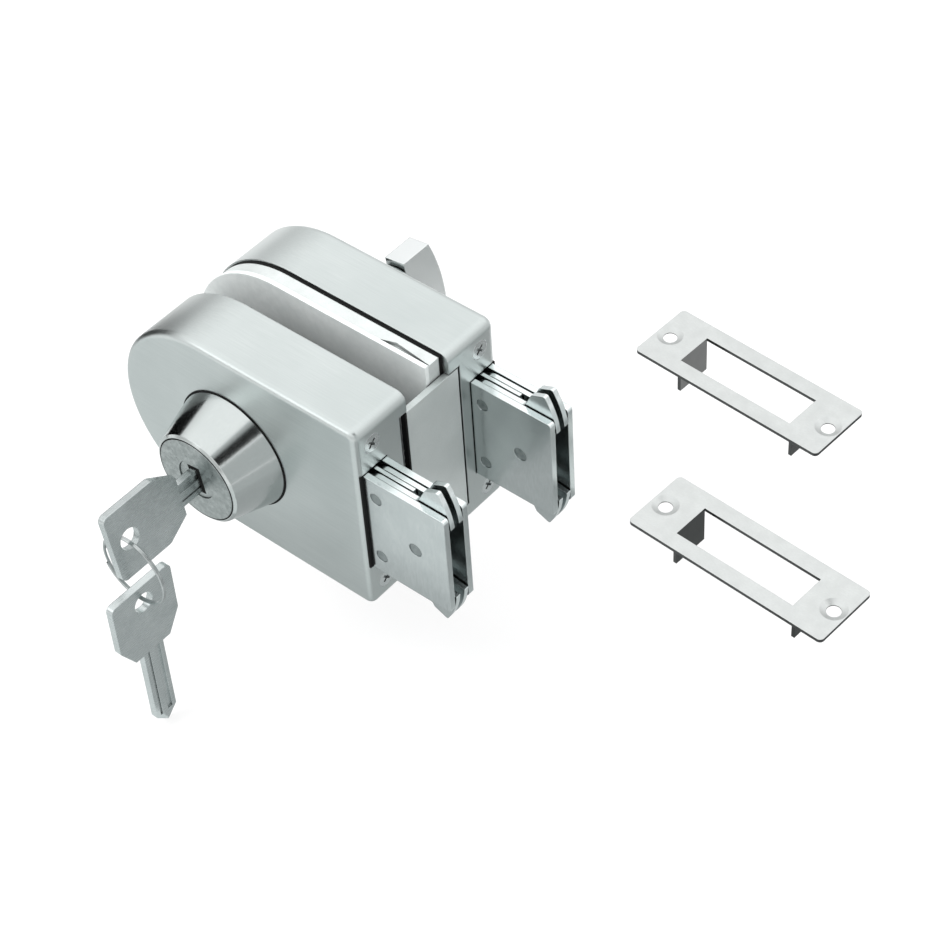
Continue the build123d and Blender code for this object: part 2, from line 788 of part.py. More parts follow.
with BuildPart() as spindle_clip:
    with BuildSketch(front.layer(front_plate_depth, clip_thickness)):
        with Locations((axis_x, 0)):
            Circle(clip_radius)
            Circle(spindle_radius + rivet_fit, mode=Mode.SUBTRACT)
        with Locations((axis_x, -clip_radius)):
            Rectangle(spindle_radius, clip_radius, mode=Mode.SUBTRACT)
    extrude(amount=clip_thickness)
finish(spindle_clip.part, "spindle_clip")

# Rosettes: turned cones on both faces
shaft_axis = Axis((axis_x, 0, 0), (0, 1, 0))
rosette_front_y = front_face_y - rosette_height
with BuildPart() as front_rosette:
    with BuildSketch(Plane.XY):
        with BuildLine():
            bore = cylinder_radius + cylinder_clearance
            head_bore = cylinder_head_radius + cylinder_clearance
            head_seat = rosette_front_y + cylinder_recess + cylinder_head_length
            Polyline((axis_x + bore, front_face_y), (axis_x + rosette_base_radius, front_face_y),
                     (axis_x + rosette_front_radius, rosette_front_y), (axis_x + head_bore, rosette_front_y),
                     (axis_x + head_bore, head_seat), (axis_x + bore, head_seat), close=True)
        make_face()
    revolve(axis=shaft_axis)
    rim = front_rosette.edges().filter_by(GeomType.CIRCLE).group_by(Axis.Y)[0].sort_by(SortBy.RADIUS)
    chamfer(rim, length=rosette_rim_chamfer)
finish(front_rosette.part, "front_rosette")

rosette_rear_y = rear_face_y + rosette_height
with BuildPart() as rear_rosette:
    with BuildSketch(Plane.XY):
        with BuildLine():
            stem_bore = turn_stem_radius + turn_stem_clearance
            Polyline((axis_x + stem_bore, rear_face_y), (axis_x + rosette_base_radius, rear_face_y),
                     (axis_x + rosette_front_radius, rosette_rear_y), (axis_x + stem_bore, rosette_rear_y),
                     close=True)
        make_face()
    revolve(axis=shaft_axis)
    rim = rear_rosette.edges().filter_by(GeomType.CIRCLE).group_by(Axis.Y)[-1].sort_by(SortBy.RADIUS)
    chamfer(rim, length=rosette_rim_chamfer)
finish(rear_rosette.part, "rear_rosette")

# Cylinder: body with a headed front, nut behind the cover, and plug with a keyway
cylinder_front_y = rosette_front_y + cylinder_recess
cylinder_back_y = front.y(cylinder_end_depth)
with BuildPart() as cylinder_body:
    with BuildSketch(Plane.XY):
        with BuildLine():
            plug_bore = plug_radius + plug_fit
            head_back = cylinder_front_y + cylinder_head_length
            Polyline((axis_x + plug_bore, cylinder_front_y), (axis_x + cylinder_head_radius, cylinder_front_y),
                     (axis_x + cylinder_head_radius, head_back), (axis_x + cylinder_radius, head_back),
                     (axis_x + cylinder_radius, cylinder_back_y), (axis_x + plug_bore, cylinder_back_y),
                     close=True)
        make_face()
    revolve(axis=shaft_axis)
    head_edge = cylinder_body.edges().filter_by(GeomType.CIRCLE).group_by(Axis.Y)[0].sort_by(SortBy.RADIUS)[-1]
    chamfer(head_edge, length=rosette_rim_chamfer)
finish(cylinder_body.part, "cylinder_body")

nut_back_y = front.y(cover_wall + nut_thickness)
with BuildPart() as cylinder_nut:
    with BuildSketch(Plane.XZ.offset(-nut_back_y)):
        with Locations((axis_x, 0)):
            RegularPolygon(nut_width / 2, 6, major_radius=False, rotation=30)
            Circle(cylinder_radius + rivet_fit, mode=Mode.SUBTRACT)
    extrude(amount=nut_thickness)
finish(cylinder_nut.part, "cylinder_nut")

plug_front_y = cylinder_front_y - plug_front_step
keyway_end_y = cylinder_front_y + key_insert + key_play
with BuildPart() as cylinder_plug:
    with BuildSketch(Plane.XZ.offset(-cylinder_back_y)):
        with Locations((axis_x, 0)):
            Circle(plug_radius)
    extrude(amount=cylinder_back_y - plug_front_y)
    with BuildSketch(Plane.XZ.offset(-plug_tail_y)):
        with Locations((axis_x, 0)):
            Circle(plug_tail_radius)
    extrude(amount=plug_tail_y - cylinder_back_y)
    with BuildSketch(Plane.XZ.offset(-keyway_end_y)):
        with Locations(Location((axis_x, 0), rest_tilt)):
            Rectangle(key_thickness + 2 * key_play, key_blade_width + 2 * key_play)
    extrude(amount=keyway_end_y - plug_front_y, mode=Mode.SUBTRACT)
    with BuildSketch(Plane.XZ.offset(-tang_end)):
        with Locations((axis_x, 0)):
            Circle(spindle_radius)
        with Locations(Location((axis_x, 0), rest_tilt)):
            Rectangle(tang_thickness, tang_cut_width, mode=Mode.INTERSECT)
    extrude(amount=tang_length)
finish(cylinder_plug.part, "cylinder_plug")

# Thumb turn: a stem inside the rear rosette and a blade with an arched outer edge
blade_back_y = rosette_rear_y + turn_face_gap
with BuildPart() as thumb_turn:
    with BuildSketch(Plane.XZ.offset(-blade_back_y)):
        with Locations((axis_x, 0)):
            Circle(turn_stem_radius)
    extrude(amount=blade_back_y - rear_face_y - plate_clearance)
    blade_plane = Plane(origin=(axis_x, blade_back_y, 0), x_dir=(-sin(tilt), 0, cos(tilt)),
                        z_dir=(cos(tilt), 0, sin(tilt)))
    with BuildSketch(blade_plane):
        half_width = turn_blade_width / 2
        with BuildLine():
            Polyline((-half_width, -turn_blade_corner_depth), (-half_width, 0), (half_width, 0),
                     (half_width, -turn_blade_corner_depth))
            ThreePointArc((half_width, -turn_blade_corner_depth), (0, -turn_blade_middle_depth),
                          (-half_width, -turn_blade_corner_depth))
        make_face()
    extrude(amount=turn_blade_thickness / 2, both=True)
    with BuildSketch(Plane.XZ.offset(-rosette_rear_y)):
        with Locations((axis_x, 0)):
            Circle(spindle_radius + rivet_fit)
    extrude(amount=rosette_height, mode=Mode.SUBTRACT)
finish(thumb_turn.part, "thumb_turn")


# Keys
def key_outline():
    """Key seen flat, with its tip at the origin and its head upwards."""
    shoulder = key_blade_length
    top = key_blade_length + key_head_length
    blade = key_blade_width / 2
    with BuildSketch() as outline:
        with BuildLine():
            Polyline((0, 0), (blade, key_tip_length), (blade, shoulder), (key_shoulder_half_width, shoulder),
                     (key_head_half_width, shoulder + key_shoulder_rise), (key_head_half_width, top),
                     (-key_head_half_width, top), (-key_head_half_width, shoulder + key_shoulder_rise),
                     (-key_shoulder_half_width, shoulder), (-blade, shoulder), (-blade, key_tip_length),
                     close=True)
        make_face()
        head_corners = outline.vertices().filter_by_position(Axis.Y, shoulder + 1, top + 1)
        fillet(head_corners, radius=key_corner_radius)
        with Locations((0, top - key_hole_from_end)):
            Circle(key_hole_radius, mode=Mode.SUBTRACT)
    return outline.sketch


def make_key(plane):
    """Flat reversible key: two grooves along both faces of the blade, and a drilled head."""
    with BuildPart() as key:
        with BuildSketch(plane):
            add(key_outline())
        extrude(amount=key_thickness / 2, both=True)
        for face in (1, -1):
            face_plane = plane.offset(face * key_thickness / 2)
            groove_length = key_blade_length - key_tip_length
            groove_middle = key_tip_length + groove_length / 2
            with BuildSketch(face_plane):
                with Locations((face * key_groove_offset, groove_middle)):
                    Rectangle(key_groove_width, groove_length)
            extrude(amount=-face * key_groove_depth, mode=Mode.SUBTRACT)
            with BuildSketch(face_plane):
                with Locations((-face * key_slit_offset, groove_middle)):
                    Rectangle(key_slit_width, groove_length)
            extrude(amount=-face * key_slit_depth, mode=Mode.SUBTRACT)
    return key.part


key_tip_y = cylinder_front_y + key_insert
first_key_plane = Plane(origin=(axis_x, key_tip_y, 0), x_dir=(-sin(tilt), 0, cos(tilt)),
                        z_dir=(cos(tilt), 0, sin(tilt)))
finish(make_key(first_key_plane), "first_key")

hole_to_tip = key_blade_length + key_head_length - key_hole_from_end
ring_y = key_tip_y - hole_to_tip
ring_hang = key_hole_radius - ring_wire_radius - ring_play
ring_z = -ring_hang - ring_radius
second_hole_z = ring_z - ring_radius - ring_hang
second_key_plane = Plane(origin=(axis_x, ring_y, second_hole_z - hole_to_tip), x_dir=(0, 1, 0),
                         z_dir=(1, 0, 0))
finish(make_key(second_key_plane), "second_key")

with BuildPart() as key_ring:
    with BuildSketch(Plane.YZ.offset(axis_x)):
        with Locations((ring_y, ring_z + ring_radius)):
            RegularPolygon(ring_wire_radius, ring_wire_sides)
    revolve(axis=Axis((axis_x, ring_y, ring_z), (0, 1, 0)))
finish(key_ring.part, "key_ring")


# Strike plates: pressed plates with two flaps bent down from the ends of the opening
def make_strike(place):
    plane = Plane(origin=(place[0], place[1], -case_height / 2 - strike_thickness),
                  x_dir=(cos(radians(strike_turn)), sin(radians(strike_turn)), 0), z_dir=(0, 0, 1))
    with BuildPart() as strike:
        with BuildSketch(plane):
            RectangleRounded(strike_length, strike_width, strike_corner_radius)
            Rectangle(strike_opening_length, strike_opening_width, mode=Mode.SUBTRACT)
        extrude(amount=strike_thickness)
        flap_x = (strike_opening_length + strike_thickness) / 2
        with BuildSketch(plane):
            with Locations((flap_x, 0), (-flap_x, 0)):
                Rectangle(strike_thickness, strike_opening_width)
        extrude(amount=-strike_flap_depth + strike_thickness)
        hole_x = strike_hole_spacing / 2
        top = plane.offset(strike_thickness)
        hole_planes = [Plane(origin=top.from_local_coords((x, 0, 0)), x_dir=plane.x_dir, z_dir=plane.z_dir)
                       for x in (hole_x, -hole_x)]
        with Locations(*hole_planes):
            CounterSinkHole(strike_hole_radius, strike_sink_radius, strike_thickness, strike_sink_angle)
    return strike.part


finish(make_strike(strike_places[0]), "upper_strike_plate")
finish(make_strike(strike_places[1]), "lower_strike_plate")
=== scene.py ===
"""Finish of the double-sided claw-bolt lock: satin stainless casings, turned rosettes, plated keys.

Lengths are in metres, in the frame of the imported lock, unless a name ends in _mm.
"""

import json
import math

import bmesh
import bpy
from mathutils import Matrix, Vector


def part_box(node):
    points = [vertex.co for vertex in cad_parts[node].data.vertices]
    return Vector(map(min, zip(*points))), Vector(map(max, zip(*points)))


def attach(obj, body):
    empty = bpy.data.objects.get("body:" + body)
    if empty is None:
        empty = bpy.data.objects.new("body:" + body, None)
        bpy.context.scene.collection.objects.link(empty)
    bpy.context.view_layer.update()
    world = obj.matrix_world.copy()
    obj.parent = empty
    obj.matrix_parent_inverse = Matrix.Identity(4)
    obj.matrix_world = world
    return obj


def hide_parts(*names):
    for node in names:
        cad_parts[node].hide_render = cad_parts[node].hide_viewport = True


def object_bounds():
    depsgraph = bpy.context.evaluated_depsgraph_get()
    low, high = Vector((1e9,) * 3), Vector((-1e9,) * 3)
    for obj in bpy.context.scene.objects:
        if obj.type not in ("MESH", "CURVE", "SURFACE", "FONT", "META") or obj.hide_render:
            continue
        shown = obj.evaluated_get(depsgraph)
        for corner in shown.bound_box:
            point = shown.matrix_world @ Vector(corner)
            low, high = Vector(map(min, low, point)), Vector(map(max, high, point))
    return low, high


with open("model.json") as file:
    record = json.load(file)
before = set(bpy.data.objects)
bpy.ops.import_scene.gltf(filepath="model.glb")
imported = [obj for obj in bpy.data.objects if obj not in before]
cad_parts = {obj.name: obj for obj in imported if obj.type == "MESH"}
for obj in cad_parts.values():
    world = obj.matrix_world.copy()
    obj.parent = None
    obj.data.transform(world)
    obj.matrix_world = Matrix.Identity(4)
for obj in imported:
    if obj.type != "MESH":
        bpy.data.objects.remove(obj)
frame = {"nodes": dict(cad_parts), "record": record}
cad_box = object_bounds()
scene = bpy.context.scene
MM = 0.001
KEY_TILT = -9.0


# Nodes and colours
def linear(hex_value):
    """Linear RGBA of an sRGB hex colour."""
    channels = [int(hex_value[i:i + 2], 16) / 255 for i in (1, 3, 5)]
    return [c / 12.92 if c <= 0.04045 else ((c + 0.055) / 1.055) ** 2.4 for c in channels] + [1.0]


def add(tree, kind, inputs=None, **settings):
    """Add a node with its settings; each input is a value or a socket to link."""
    made = tree.nodes.new(kind)
    for name, value in settings.items():
        setattr(made, name, value)
    for name, value in (inputs or {}).items():
        if isinstance(value, bpy.types.NodeSocket):
            tree.links.new(value, made.inputs[name])
        else:
            made.inputs[name].default_value = value
    return made


def new_material(name):
    """Empty material with its tree and output node."""
    material = bpy.data.materials.new(name)
    material.use_nodes = True
    tree = material.node_tree
    tree.nodes.clear()
    return material, tree, add(tree, "ShaderNodeOutputMaterial")


# Where the cloudiness of a metal turns to its shade and to its full colour
CLOUD_LIFT = 0.22
DARKEST_CLOUD = 0.32
LIGHTEST_CLOUD = 0.62


def worked_metal(name, colour, shade, roughness, spread, grain_mm, run, edge_mm, depth_mm, cloud_mm,
                 metallic=1.0, crevice_shade_mm=1.5, painted_edge_tone=None):
    """Metal whose surface was worked along one direction.

    colour and shade are the light and dark of its cloudiness, grain_mm the spacing of the marks, run how
    many times longer than wide the marks are along X, Y and Z, edge_mm the softness of its edges, and
    crevice_shade_mm how far the painted shade of its crevices reaches. painted_edge_tone is the axis across
    a
    sheet and a factor: the colour of its edges and of other faces turned away from that axis is multiplied
    by the factor, a painted highlight above 1 and painted shade below 1.
    """
    material, tree, output = new_material(name)
    place = add(tree, "ShaderNodeTexCoord").outputs["Object"]
    stretched = add(tree, "ShaderNodeMapping", {"Vector": place, "Scale": [1 / r for r in run]})
    marks = add(tree, "ShaderNodeTexNoise", {"Vector": stretched.outputs["Vector"], "Detail": 4.0,
                                             "Scale": 1 / (grain_mm * MM), "Roughness": 0.6})
    cloud = add(tree, "ShaderNodeTexNoise", {"Vector": place, "Scale": 1 / (cloud_mm * MM), "Detail": 3.0})
    blend = add(tree, "ShaderNodeMath", {0: marks.outputs["Fac"], 1: cloud.outputs["Fac"], 2: CLOUD_LIFT},
                operation="MULTIPLY_ADD")
    tone = add(tree, "ShaderNodeValToRGB", {"Fac": blend.outputs["Value"]})
    tone.color_ramp.elements[0].position = DARKEST_CLOUD
    tone.color_ramp.elements[0].color = linear(shade)
    tone.color_ramp.elements[1].position = LIGHTEST_CLOUD
    tone.color_ramp.elements[1].color = linear(colour)
    # Painted shade: ambient occlusion darkens the colour in crevices, recesses and between parts.
    crevice = add(tree, "ShaderNodeAmbientOcclusion", {"Distance": crevice_shade_mm * MM}, samples=8)
    painted_crevice_shade = add(tree, "ShaderNodeMapRange", {"Value": crevice.outputs["AO"], "From Min": 0.1,
                                             "From Max": 0.7, "To Min": 0.2, "To Max": 1.0})
    tone_with_painted_light = add(tree, "ShaderNodeMix", {"Factor": 1.0, "A": tone.outputs["Color"],
                                       "B": painted_crevice_shade.outputs["Result"]},
               data_type="RGBA", blend_type="MULTIPLY")
    # Painted highlight and shade: the colour of faces turned away from the given axis is scaled by a factor.
    if painted_edge_tone:
        normal = add(tree, "ShaderNodeNewGeometry").outputs["Normal"]
        facing = add(tree, "ShaderNodeSeparateXYZ", {"Vector": normal})
        along = add(tree, "ShaderNodeMath", {0: facing.outputs[painted_edge_tone[0]]}, operation="ABSOLUTE")
        painted_edge_gain = add(tree, "ShaderNodeMapRange", {"Value": along.outputs["Value"], "From Min": 0.35,
                                                "From Max": 0.75, "To Min": painted_edge_tone[1], "To Max": 1.0})
        tone_with_painted_light = add(tree, "ShaderNodeMix", {"Factor": 1.0, "A": tone_with_painted_light.outputs["Result"],
                                           "B": painted_edge_gain.outputs["Result"]},
                   data_type="RGBA", blend_type="MULTIPLY")
    gloss = add(tree, "ShaderNodeMapRange", {"Value": marks.outputs["Fac"], "From Min": 0.3,
                                             "From Max": 0.7, "To Min": roughness - spread,
                                             "To Max": roughness + spread})
    soft_edge = add(tree, "ShaderNodeBevel", {"Radius": edge_mm * MM}, samples=6)
    relief = add(tree, "ShaderNodeBump", {"Height": marks.outputs["Fac"], "Distance": depth_mm * MM,
                                          "Strength": 0.6, "Normal": soft_edge.outputs["Normal"]})
    shader = add(tree, "ShaderNodeBsdfPrincipled",
                 {"Base Color": tone_with_painted_light.outputs["Result"], "Metallic": metallic,
                  "Roughness": gloss.outputs["Result"], "Normal": relief.outputs["Normal"]})
    tree.links.new(shader.outputs["BSDF"], output.inputs["Surface"])
    return material


def satin_stainless_casing():
    """Drawn stainless sheet, belt-ground to satin: a soft sheen with faint lines along the case."""
    return worked_metal("satin_stainless_casing", "#CBD1D0", "#BEC5C4", 0.33, 0.04, 0.35, (40, 1, 1),
                        0.5, 0.002, 30)


def turned_steel_rosette():
    """Stainless bar turned and polished on a lathe: nearly a mirror, with fine rings."""
    return worked_metal("turned_steel_rosette", "#C6CBCA", "#BCC2C1", 0.16, 0.03, 0.3, (1, 30, 1),
                        0.3, 0.002, 20)


def cold_rolled_plate():
    """Sheet steel, pressed and barrel zinc plated: a pale matt grey that takes light from all round."""
    return worked_metal("cold_rolled_plate", "#C6CCCB", "#B4BBBA", 0.42, 0.06, 0.4, (30, 1, 1),
                        0.3, 0.003, 15, metallic=0.45, crevice_shade_mm=3.0)


def zinc_plated_bolt():
    """Punched steel, barrelled and zinc plated: a slightly cloudy face, with the colour of its edges
    lightened as a painted highlight.
    """
    return worked_metal("zinc_plated_bolt", "#C9CFCF", "#BDC4C4", 0.22, 0.03, 0.5, (1, 1, 6),
                        0.25, 0.002, 9, painted_edge_tone=("Y", 1.4))


def nickel_plated_cylinder():
    """Brass bar, turned and matt nickel plated: warm grey with a fine mottle."""
    return worked_metal("nickel_plated_cylinder", "#B4BAB9", "#8B9291", 0.33, 0.08, 0.7, (1, 1, 1),
                        0.2, 0.02, 2)


def nickel_plated_key():
    """Stamped brass, milled and nickel plated: smooth, bright at the edges, lightly handled."""
    return worked_metal("nickel_plated_key", "#CBD1D1", "#B8BFBF", 0.27, 0.05, 0.4, (1, 8, 1),
                        0.3, 0.005, 8)


def bright_screw_steel():
    """Cold-headed steel, nickel plated: a bright small head with dark recesses."""
    return worked_metal("bright_screw_steel", "#E2E6E6", "#C0C6C6", 0.22, 0.05, 0.3, (1, 1, 1),
                        0.15, 0.003, 3)


def polished_ring_wire():
    """Hardened spring wire, polished and nickel plated: glossy and thin."""
    return worked_metal("polished_ring_wire", "#C6CACA", "#979D9D", 0.18, 0.04, 0.2, (1, 1, 1),
                        0.1, 0.002, 3)


def die_cast_spacer():
    """Die-cast zinc, tumbled: dull and a little grainy."""
    return worked_metal("die_cast_spacer", "#D2D7D6", "#C3C8C7", 0.45, 0.06, 0.5, (1, 1, 1),
                        0.3, 0.004, 5, metallic=0.5, crevice_shade_mm=2.2)


def satin_strike():
    """Stainless strip, punched and satin ground along its length: pale, with the colour of its edges and
    flaps darkened as painted shade.
    """
    return worked_metal("satin_strike", "#CED1D0", "#C3C6C5", 0.33, 0.05, 0.5, (2, 1, 1),
                        0.15, 0.01, 4, painted_edge_tone=("Z", 0.22))


def chromed_turn():
    """Die-cast zinc, polished and chrome plated: the brightest metal on the lock."""
    return worked_metal("chromed_turn", "#E9ECEC", "#E0E4E4", 0.24, 0.03, 0.4, (1, 1, 1),
                        0.4, 0.001, 20, crevice_shade_mm=0.1)


def phosphated_plate():
    """Sheet steel, manganese phosphated and oiled: charcoal, with a soft crystalline sheen."""
    return worked_metal("phosphated_plate", "#26292A", "#191B1C", 0.6, 0.08, 0.3, (1, 1, 1),
                        0.2, 0.004, 6, metallic=0.6)


def peened_rivet():
    """Mild steel rivet end, hammered into its dimple: duller than the plate round it, and darker in colour
    as painted shade of the dimple.
    """
    return worked_metal("peened_rivet", "#A3AAAA", "#7C8484", 0.4, 0.06, 0.3, (1, 1, 1),
                        0.2, 0.01, 1.2, crevice_shade_mm=2.5)


def galvanised_clamp_plate():
    """Hot-dip galvanised sheet: pale and nearly matt, with faint spangles."""
    return worked_metal("galvanised_clamp_plate", "#DCE1E0", "#CDD3D2", 0.5, 0.06, 2.5, (1, 1, 1),
                        0.3, 0.003, 12, metallic=0.1)


# The same finish dresses the black pieces below that are painted shade.
def black_rubber():
    """Moulded nitrile rubber: matt black with a fine pebble from the mould."""
    material, tree, output = new_material("black_rubber")
    place = add(tree, "ShaderNodeTexCoord").outputs["Object"]
    pebble = add(tree, "ShaderNodeTexVoronoi", {"Vector": place, "Scale": 1 / (0.6 * MM)})
    tone = add(tree, "ShaderNodeValToRGB", {"Fac": pebble.outputs["Distance"]})
    tone.color_ramp.elements[0].color = linear("#040505")
    tone.color_ramp.elements[1].color = linear("#0F1010")
    relief = add(tree, "ShaderNodeBump", {"Height": pebble.outputs["Distance"], "Distance": 0.03 * MM,
                                          "Strength": 0.5})
    shader = add(tree, "ShaderNodeBsdfPrincipled",
                 {"Base Color": tone.outputs["Color"], "Roughness": 0.9, "IOR": 1.35,
                  "Normal": relief.outputs["Normal"]})
    tree.links.new(shader.outputs["BSDF"], output.inputs["Surface"])
    return material


FINISHES = {
    "satin_steel_casing": satin_stainless_casing(),
    "polished_rosette": turned_steel_rosette(),
    "bare_steel_plate": cold_rolled_plate(),
    "bolt_steel": zinc_plated_bolt(),
    "screw_steel": bright_screw_steel(),
    "plug_brass": nickel_plated_cylinder(),
    "key_metal": nickel_plated_key(),
    "ring_wire": polished_ring_wire(),
    "spacer_grey": die_cast_spacer(),
    "black_rubber": black_rubber(),
    "strike_steel": satin_strike(),
}
RIVET = peened_rivet()
OWN_FINISHES = {"rear_clamp_plate": galvanised_clamp_plate(), "front_base_plate": phosphated_plate(),
                "front_bolt_rivets": RIVET, "rear_bolt_rivets": RIVET, "thumb_turn": chromed_turn()}


def dress_cad_nodes():
    """Give every node the finish of its slot, or its own finish where it has one."""
    slots = {s["node"]: s["material_slot"] for s in frame["record"]["subparts"]}
    for name, node in frame["nodes"].items():
        node.data.materials.clear()
        node.data.materials.append(OWN_FINISHES.get(name, FINISHES[slots[name]]))


# Stage, lights and camera
FLOOR_HEIGHT = cad_box[0].z - 0.0015
FLOOR_SIZE = 6.0


def pale_floor():
    """Matt white board that keeps the lock's soft shadow and shows as the white ground."""
    bpy.ops.mesh.primitive_plane_add(size=FLOOR_SIZE, location=(0, 0, FLOOR_HEIGHT))
    floor = bpy.context.object
    floor.name = "floor"
    material, tree, output = new_material("matt_white_board")
    board = add(tree, "ShaderNodeBsdfDiffuse", {"Color": linear("#F4F4F4")})
    ground = add(tree, "ShaderNodeEmission", {"Color": linear("#FFFFFF"), "Strength": 1.0})
    ray = add(tree, "ShaderNodeLightPath")
    seen = add(tree, "ShaderNodeMath", {0: ray.outputs["Is Camera Ray"], 1: ray.outputs["Is Glossy Ray"]},
               operation="MAXIMUM")
    through = add(tree, "ShaderNodeMath", {0: seen.outputs["Value"],
                                           1: ray.outputs["Is Transmission Ray"]}, operation="MAXIMUM")
    share = add(tree, "ShaderNodeMath", {0: through.outputs["Value"], 1: 0.65}, operation="MULTIPLY")
    mixed = add(tree, "ShaderNodeMixShader", {0: share.outputs["Value"], 1: board.outputs["BSDF"],
                                              2: ground.outputs["Emission"]})
    tree.links.new(mixed.outputs["Shader"], output.inputs["Surface"])
    floor.data.materials.append(material)


def studio_world():
    """Even white room, a little dimmer towards the horizon."""
    world = bpy.data.worlds.new("white_room")
    scene.world = world
    world.use_nodes = True
    tree = world.node_tree
    tree.nodes.clear()
    place = add(tree, "ShaderNodeTexCoord").outputs["Generated"]
    height = add(tree, "ShaderNodeSeparateXYZ", {"Vector": place})
    tone = add(tree, "ShaderNodeMapRange", {"Value": height.outputs["Z"], "From Min": 0.0, "From Max": 0.75,
                                            "To Min": 0.68, "To Max": 1.41})
    sky = add(tree, "ShaderNodeBackground", {"Color": linear("#FFFFFF"), "Strength": tone.outputs["Result"]})
    output = add(tree, "ShaderNodeOutputWorld")
    tree.links.new(sky.outputs["Background"], output.inputs["Surface"])


LOCK_MIDDLE = Vector((-0.02, 0.0, 0.0))


def softbox(name, towards, distance, size, power, in_reflections=True):
    """Square area lamp that looks at the lock from the given direction."""
    lamp = bpy.data.lights.new(name, "AREA")
    lamp.shape = "SQUARE"
    lamp.size = size
    lamp.energy = power
    stand = bpy.data.objects.new(name, lamp)
    direction = Vector(towards).normalized()
    stand.location = LOCK_MIDDLE + direction * distance
    stand.rotation_mode = "QUATERNION"
    stand.rotation_quaternion = direction.to_track_quat("Z", "Y")
    stand.visible_glossy = in_reflections
    scene.collection.objects.link(stand)


def card(name, centre, size, facing, tone):
    """Board beside the set, seen only in the reflections of the metal; tone 0 is black felt, 1 white."""
    bpy.ops.mesh.primitive_plane_add(size=1.0, location=centre)
    panel = bpy.context.object
    panel.name = name
    panel.scale = (size[0], size[1], 1)
    panel.rotation_mode = "QUATERNION"
    panel.rotation_quaternion = Vector(facing).to_track_quat("Z", "Y")
    material, tree, output = new_material(name)
    board = add(tree, "ShaderNodeEmission", {"Color": linear("#F4F8F8"), "Strength": tone})
    tree.links.new(board.outputs["Emission"], output.inputs["Surface"])
    panel.data.materials.append(material)
    panel.visible_camera = False
    panel.visible_diffuse = False
    panel.visible_shadow = False


# The camera is the one that was fitted to the photograph
CAMERA_PLACE = Vector((0.35772, -0.36690, 0.53484))
CAMERA_RIGHT = Vector((0.76604, 0.64074, -0.05131))
CAMERA_DOWN = Vector((0.43656, -0.5772, -0.69011))
CAMERA_AHEAD = Vector((-0.4718, 0.50625, -0.72188))
FOCAL_PX = 2611.14
PICTURE_PX = 933


def photo_camera():
    """Camera at the photograph's place, with the photograph's angle of view."""
    data = bpy.data.cameras.new("photo_camera")
    data.sensor_width = 36.0
    data.lens = data.sensor_width * FOCAL_PX / PICTURE_PX
    data.clip_start = 0.01
    data.clip_end = 20.0
    camera = bpy.data.objects.new("photo_camera", data)
    turned = (CAMERA_RIGHT, -CAMERA_DOWN, -CAMERA_AHEAD)
    matrix = camera.matrix_world.copy()
    for column, axis in enumerate(turned):
        for row in range(3):
            matrix[row][column] = axis[row]
    for row in range(3):
        matrix[row][3] = CAMERA_PLACE[row]
    camera.matrix_world = matrix
    scene.collection.objects.link(camera)
    scene.camera = camera


# Visible pieces that stand for plain solids, and black pieces as painted shade
def mesh_piece(name, body, slot, bm, smooth_angle=35):
    """Turn a bmesh into a piece that rides on a body with the finish of a slot."""
    bmesh.ops.recalc_face_normals(bm, faces=bm.faces)
    data = bpy.data.meshes.new(name)
    bm.to_mesh(data)
    bm.free()
    piece = bpy.data.objects.new(name, data)
    scene.collection.objects.link(piece)
    data.materials.append(FINISHES[slot])
    for face in data.polygons:
        face.use_smooth = True
    data.set_sharp_from_angle(angle=math.radians(smooth_angle))
    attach(piece, body)
    return piece


def tube_along(points, radius, sides, closed=False):
    """Round tube through points that lie close together."""
    bm = bmesh.new()
    rings = []
    count = len(points)
    side = Vector((0, 1, 0))
    for i, point in enumerate(points):
        before = points[(i - 1) % count] if closed or i else points[i]
        after = points[(i + 1) % count] if closed or i < count - 1 else points[i]
        along = (after - before).normalized()
        across = (side - along * side.dot(along)).normalized()
        up = along.cross(across)
        rings.append([bm.verts.new(point + radius * (math.cos(a) * across + math.sin(a) * up))
                      for a in (2 * math.pi * k / sides for k in range(sides))])
    last = count if closed else count - 1
    for i in range(last):
        here, there = rings[i], rings[(i + 1) % count]
        for k in range(sides):
            bm.faces.new((here[k], here[(k + 1) % sides], there[(k + 1) % sides], there[k]))
    if not closed:
        bm.faces.new(rings[0])
        bm.faces.new(list(reversed(rings[-1])))
    return bm


def split_ring():
    """Split ring, two turns that lie on each other with offset ends, drawn in round wire where the real
    ring's wire is flattened.
    """
    low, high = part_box("key_ring")
    middle = (low + high) / 2
    wire = (high.y - low.y) / 4
    radius = (high.z - low.z) / 2 - wire
    turns = 2
    steps = 96
    end_gap = 6
    start = math.radians(200)
    points = []
    for i in range(turns * steps - end_gap):
        share = i / (turns * steps)
        angle = 2 * math.pi * share * turns + start
        lift = (share - 0.5) * 2 * wire
        points.append(middle + Vector((radius * math.cos(angle), lift, radius * math.sin(angle))))
    thickness = wire * 0.94
    piece = mesh_piece("split_ring", "key_ring", "ring_wire", tube_along(points, thickness, 12))
    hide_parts("key_ring")


def turned_ring(name, slot, axis, profile, sides=96):
    """Ring of revolution about a line along Y; profile is its section as (radius, y) points."""
    bm = bmesh.new()
    rows = []
    for k in range(sides):
        a = 2 * math.pi * k / sides
        rows.append([bm.verts.new((axis.x + r * math.cos(a), y, axis.z + r * math.sin(a)))
                     for r, y in profile])
    for k in range(sides):
        here, there = rows[k], rows[(k + 1) % sides]
        for i in range(len(profile)):
            j = (i + 1) % len(profile)
            bm.faces.new((here[i], here[j], there[j], there[i]))
    return mesh_piece(name, "lock_case", slot, bm)


